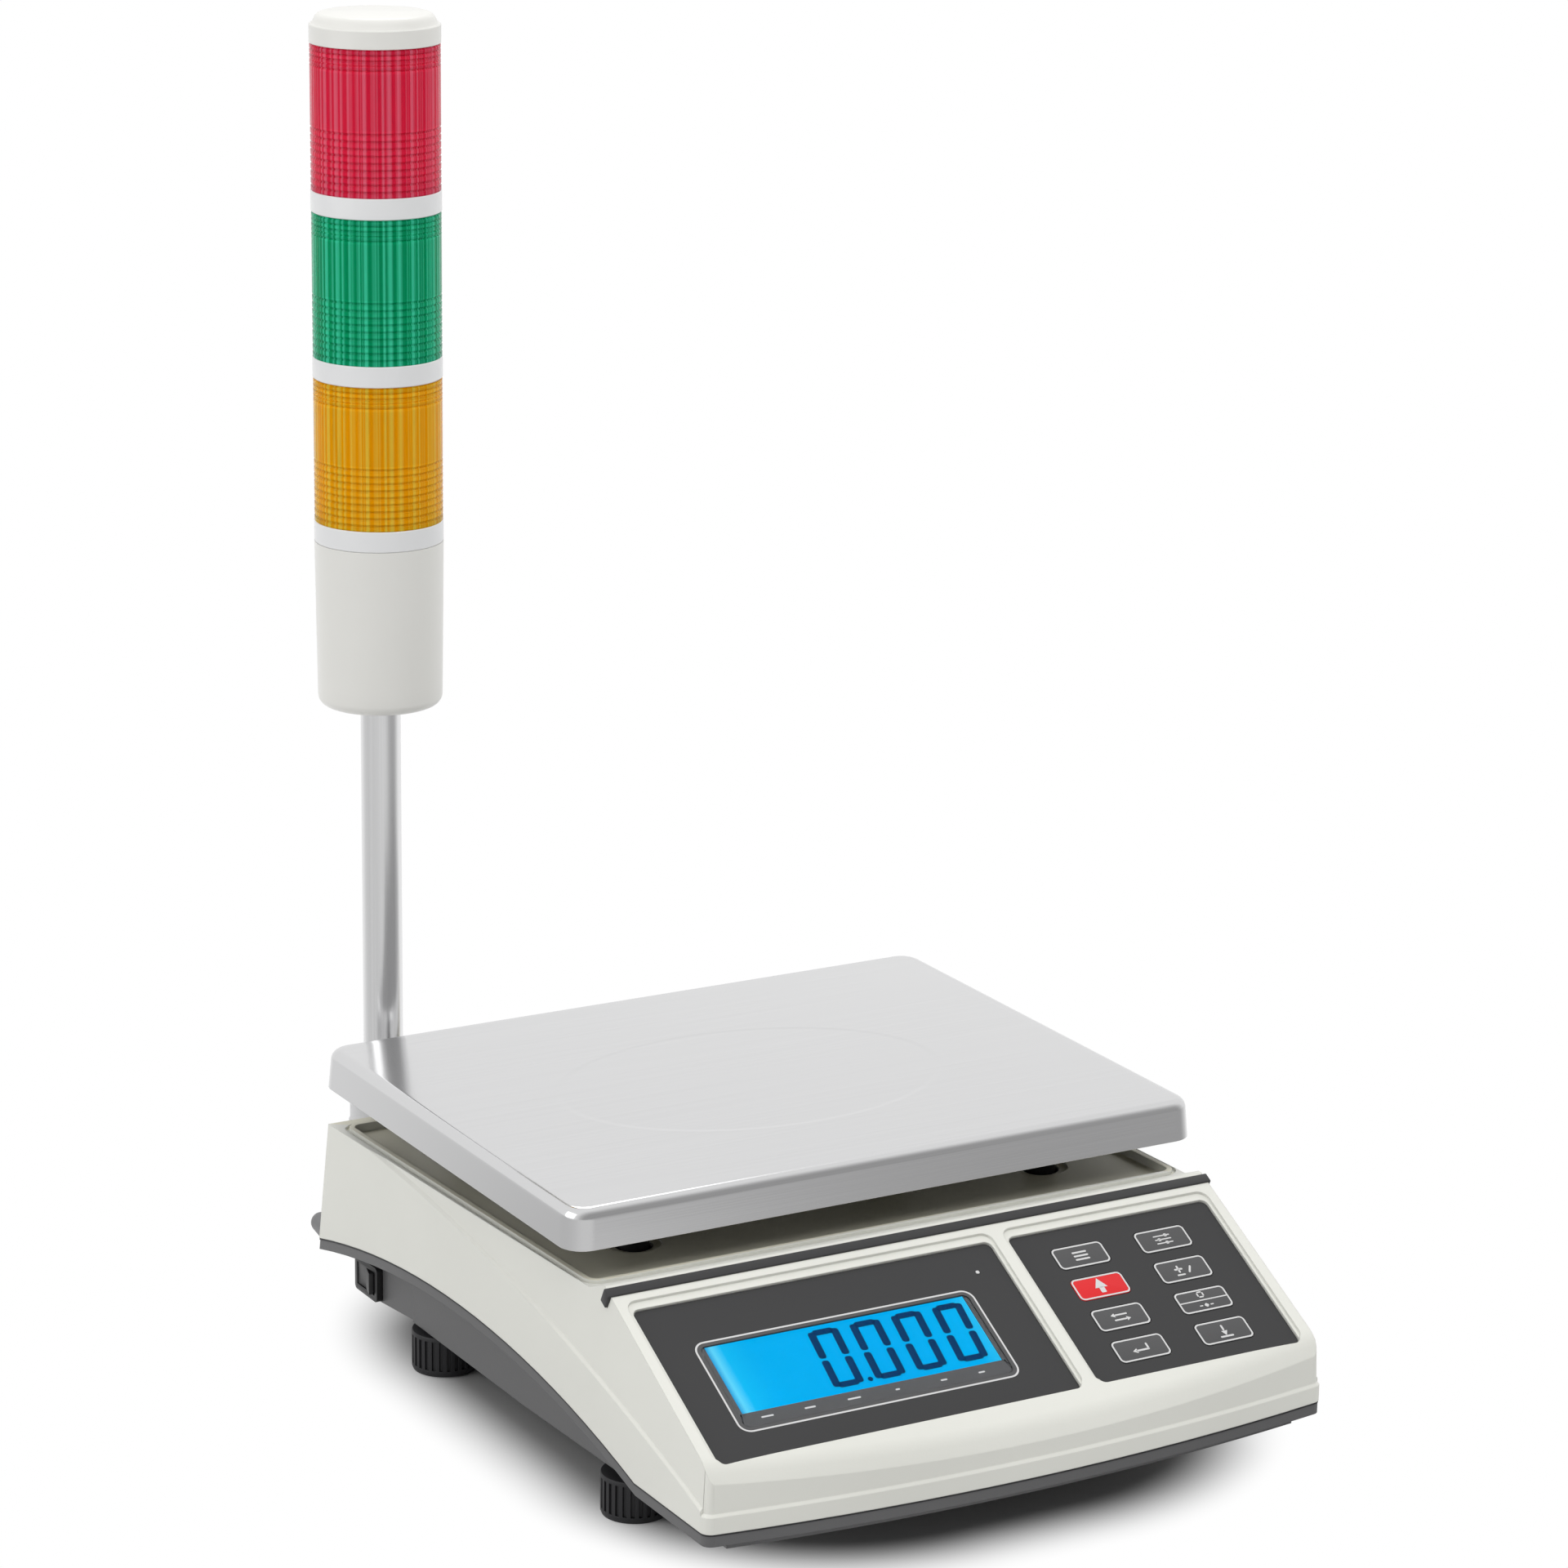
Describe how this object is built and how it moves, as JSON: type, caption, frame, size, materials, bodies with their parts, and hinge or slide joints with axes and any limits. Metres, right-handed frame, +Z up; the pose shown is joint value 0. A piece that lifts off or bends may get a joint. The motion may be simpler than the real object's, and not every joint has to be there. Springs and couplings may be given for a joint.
{
  "type": "bench weighing scale",
  "caption": "Low bench weighing scale with a flat steel pan, a sloped display and key panel, levelling feet and a signal-light tower on a rear pole.",
  "frame": {"origin": "on the table, at the centre of the whole object's footprint", "axes": "+X to the operator's right, +Y away from the operator, +Z up along the tower's pole"},
  "size_m": [0.299, 0.4012, 0.5745],
  "materials": {
    "housing_ivory": "fine moulded grain, low sheen",
    "base_grey": "moulded grain",
    "trim_dark": "satin",
    "overlay_dark": "fine embossed polyester film",
    "window_clear": "clear polished",
    "lcd_blue": "backlit, smooth",
    "board_green": "solder mask",
    "key_grey": "fine embossed film",
    "key_red": "fine embossed film",
    "screw_steel": "zinc plated",
    "cell_alloy": "milled and die cast",
    "cap_rubber": "matt moulded",
    "pan_steel": "satin rolled stainless sheet",
    "battery_case": "moulded",
    "switch_black": "moulded",
    "vial_clear": "clear tinted",
    "foot_black": "moulded, knurled",
    "insert_brass": "turned",
    "bracket_silver": "powder coated",
    "pole_silver": "bright anodised tube",
    "gland_grey": "moulded",
    "tower_ivory": "smooth moulded",
    "ring_silver": "silver lacquered",
    "lens_amber": "clear tinted, ribbed",
    "lens_green": "clear tinted, ribbed",
    "lens_red": "clear tinted, ribbed",
    "core_white": "moulded"
  },
  "bodies": {
    "case": {"base_tray": "base_grey", "upper_housing": "housing_ivory", "trim_strip": "trim_dark", "display_overlay": "overlay_dark", "keypad_overlay": "overlay_dark", "lcd_window": "window_clear", "lcd_module": "lcd_blue", "display_board": "board_green", "main_board": "board_green", "small_screws": "screw_steel", "load_cell": "cell_alloy", "cell_plate": "screw_steel", "fixed_bolts": "screw_steel", "battery_cell": "battery_case", "battery_strap": "screw_steel", "switch_body": "switch_black", "charge_inlet": "switch_black", "bubble_level": "vial_clear", "foot_inserts": "insert_brass", "case_screws": "screw_steel", "pole_bracket": "bracket_silver", "bracket_screws": "screw_steel", "bracket_nuts": "screw_steel", "pole_collar": "bracket_silver", "collar_nut": "screw_steel", "collar_screw": "foot_black", "pole": "pole_silver", "cable_gland": "gland_grey", "tower_base": "tower_ivory", "ring_low": "ring_silver", "ring_mid": "ring_silver", "ring_high": "ring_silver", "lens_amber": "lens_amber", "lens_green": "lens_green", "lens_red": "lens_red", "lamp_cores": "core_white", "tower_cap": "tower_ivory"},
    "platform": {"cell_block": "cell_alloy", "live_bolts": "screw_steel", "pan_cross": "cell_alloy", "rubber_caps": "cap_rubber"},
    "pan": {"weighing_pan": "pan_steel"},
    "rocker": {"switch_rocker": "switch_black"},
    "key_1_cap": {"key_1": "key_grey"},
    "key_2_cap": {"key_2": "key_red"},
    "key_3_cap": {"key_3": "key_grey"},
    "key_4_cap": {"key_4": "key_grey"},
    "key_5_cap": {"key_5": "key_grey"},
    "key_6_cap": {"key_6": "key_grey"},
    "key_7_cap": {"key_7": "key_grey"},
    "key_8_cap": {"key_8": "key_grey"},
    "foot_front_left_leg": {"foot_front_left": "foot_black"},
    "foot_front_right_leg": {"foot_front_right": "foot_black"},
    "foot_rear_left_leg": {"foot_rear_left": "foot_black"},
    "foot_rear_right_leg": {"foot_rear_right": "foot_black"}
  },
  "joints": [
    {"name": "platform_deflection", "type": "slide", "parent": "case", "child": "platform", "axis": [0, 0, -1], "range_m": [0, 0.0005], "stiffness_N_per_m": 200000, "deforming": ["load_cell"]},
    {"name": "pan_lift", "type": "slide", "parent": "platform", "child": "pan", "axis": [0, 0, 1], "range_m": [0, 0.06]},
    {"name": "power_rocker", "type": "hinge", "parent": "case", "child": "rocker", "pos_m": [-0.131, 0.13837, 0.0256], "axis": [0, 0, 1], "range_deg": [0, 16]},
    {"name": "key_1_press", "type": "slide", "parent": "case", "child": "key_1_cap", "axis": [0, 0.4664, -0.8846], "range_m": [0, 0.0005], "stiffness_N_per_m": 2000, "springref_m": -0.0004},
    {"name": "key_2_press", "type": "slide", "parent": "case", "child": "key_2_cap", "axis": [0, 0.4664, -0.8846], "range_m": [0, 0.0005], "stiffness_N_per_m": 2000, "springref_m": -0.0004},
    {"name": "key_3_press", "type": "slide", "parent": "case", "child": "key_3_cap", "axis": [0, 0.4664, -0.8846], "range_m": [0, 0.0005], "stiffness_N_per_m": 2000, "springref_m": -0.0004},
    {"name": "key_4_press", "type": "slide", "parent": "case", "child": "key_4_cap", "axis": [0, 0.4664, -0.8846], "range_m": [0, 0.0005], "stiffness_N_per_m": 2000, "springref_m": -0.0004},
    {"name": "key_5_press", "type": "slide", "parent": "case", "child": "key_5_cap", "axis": [0, 0.4664, -0.8846], "range_m": [0, 0.0005], "stiffness_N_per_m": 2000, "springref_m": -0.0004},
    {"name": "key_6_press", "type": "slide", "parent": "case", "child": "key_6_cap", "axis": [0, 0.4664, -0.8846], "range_m": [0, 0.0005], "stiffness_N_per_m": 2000, "springref_m": -0.0004},
    {"name": "key_7_press", "type": "slide", "parent": "case", "child": "key_7_cap", "axis": [0, 0.4664, -0.8846], "range_m": [0, 0.0005], "stiffness_N_per_m": 2000, "springref_m": -0.0004},
    {"name": "key_8_press", "type": "slide", "parent": "case", "child": "key_8_cap", "axis": [0, 0.4664, -0.8846], "range_m": [0, 0.0005], "stiffness_N_per_m": 2000, "springref_m": -0.0004},
    {"name": "foot_front_left_adjust", "type": "slide", "parent": "case", "child": "foot_front_left_leg", "axis": [0, 0, -1], "range_m": [0, 0.008]},
    {"name": "foot_front_right_adjust", "type": "slide", "parent": "case", "child": "foot_front_right_leg", "axis": [0, 0, -1], "range_m": [0, 0.008]},
    {"name": "foot_rear_left_adjust", "type": "slide", "parent": "case", "child": "foot_rear_left_leg", "axis": [0, 0, -1], "range_m": [0, 0.008]},
    {"name": "foot_rear_right_adjust", "type": "slide", "parent": "case", "child": "foot_rear_right_leg", "axis": [0, 0, -1], "range_m": [0, 0.008]}
  ]
}
